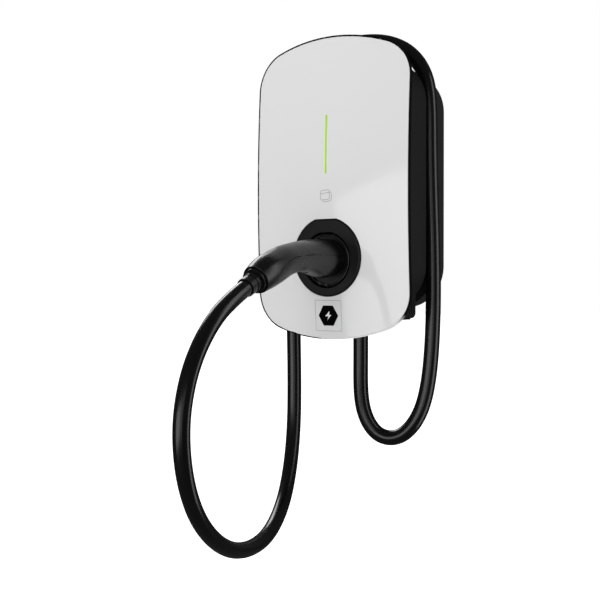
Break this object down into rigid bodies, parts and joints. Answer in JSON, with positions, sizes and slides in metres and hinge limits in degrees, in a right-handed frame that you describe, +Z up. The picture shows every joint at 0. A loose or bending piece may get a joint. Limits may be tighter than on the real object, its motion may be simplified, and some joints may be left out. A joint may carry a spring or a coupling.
{
  "type": "ev wallbox",
  "caption": "Wall-mounted charger for electric cars: domed panel with a light line, housing with a cable groove, and a plug on a long cable resting in the front holster.",
  "frame": {"origin": "on the wall, behind the centre of the front panel, in the middle of the wall bracket's hole pattern plane", "axes": "+X to the viewer's right along the wall, +Y into the wall, +Z up; the panel faces -Y"},
  "size_m": [0.1875, 0.3247, 0.5239],
  "materials": {
    "boot_rubber": "matte",
    "component_black": "matte",
    "screws_zinc": "zinc",
    "cable_black": "satin",
    "gland_black": "matte",
    "nut_black": "satin",
    "glass_white": "gloss",
    "handle_black": "satin",
    "bezel_black": "satin",
    "cup_black": "matte",
    "seal_rubber": "matte",
    "housing_black": "satin",
    "cover_grey": "matte",
    "guide_green": "gloss",
    "board_green": "satin",
    "carrier_black": "matte",
    "lead_insulation": "matte",
    "plug_black": "matte",
    "contact_brass": "bare",
    "shield_steel": "bare",
    "rear_black": "satin",
    "terminal_grey": "matte",
    "port_black": "matte",
    "bracket_steel": "satin"
  },
  "bodies": {
    "root": {"bend_relief": "boot_rubber", "board_header": "component_black", "board_screws": "screws_zinc", "board_standoffs": "screws_zinc", "bracket_screws": "screws_zinc", "cable_leads": "lead_insulation", "charging_cable": "cable_black", "charging_gland_body": "gland_black", "charging_gland_nut": "gland_black", "charging_gland_seal": "seal_rubber", "clamp_nut": "nut_black", "control_board": "board_green", "cover_gasket": "seal_rubber", "cover_screws": "screws_zinc", "current_sensor": "component_black", "filter_capacitors": "component_black", "front_panel": "glass_white", "handle_lower": "handle_black", "handle_screws": "screws_zinc", "handle_upper": "handle_black", "holster_bezel": "bezel_black", "holster_cup": "cup_black", "holster_screws": "screws_zinc", "holster_seal": "seal_rubber", "housing_tub": "housing_black", "inner_cover": "cover_grey", "led_board": "board_green", "light_guide": "guide_green", "main_board": "board_green", "panel_carrier": "carrier_black", "plug_leads": "lead_insulation", "plug_nose": "plug_black", "plug_seal": "seal_rubber", "plug_sleeves": "contact_brass", "power_relays": "component_black", "radio_module": "shield_steel", "reader_board": "board_green", "rear_shell": "rear_black", "shell_screws": "screws_zinc", "signal_port": "port_black", "signal_port_cap": "port_black", "supply_gland_body": "gland_black", "supply_gland_nut": "gland_black", "supply_gland_plug": "seal_rubber", "supply_module": "component_black", "supply_terminals": "terminal_grey", "terminal_block": "terminal_grey", "vent_plug": "port_black", "wall_bracket": "bracket_steel"}
  },
  "joints": []
}
